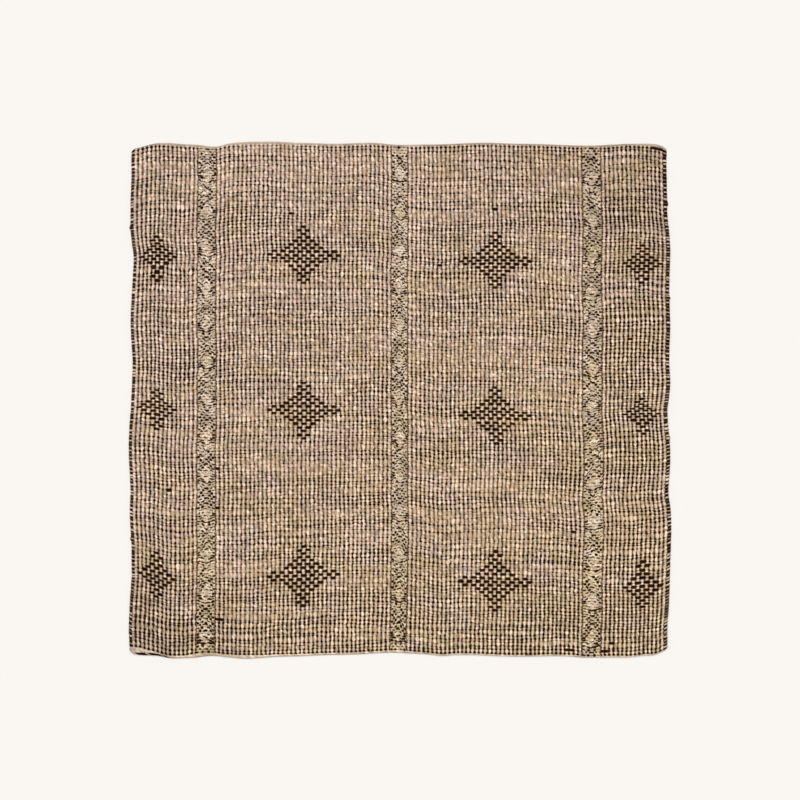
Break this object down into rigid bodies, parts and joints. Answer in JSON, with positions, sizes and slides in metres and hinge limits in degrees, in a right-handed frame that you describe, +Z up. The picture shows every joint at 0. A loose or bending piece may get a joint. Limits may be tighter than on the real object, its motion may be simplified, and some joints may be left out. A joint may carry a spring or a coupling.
{
  "type": "jute rug",
  "caption": "Flat-woven jute floor rug: natural and dark brown weft, diamond motifs between narrow pattern bands, corded sides and turned hems.",
  "frame": {"origin": "under the middle of the rug's box, on the surface it lies on", "axes": "+Z up; +X across the rug, along the weft; +Y along the pattern bands, from foot to head"},
  "size_m": [1.5148, 1.444, 0.0094],
  "materials": {
    "jute_weave": "undyed jute yarn with dark brown weft, dry and matt, coarse flat weave"
  },
  "bodies": {
    "root": {"woven_rug": "jute_weave"}
  },
  "joints": []
}
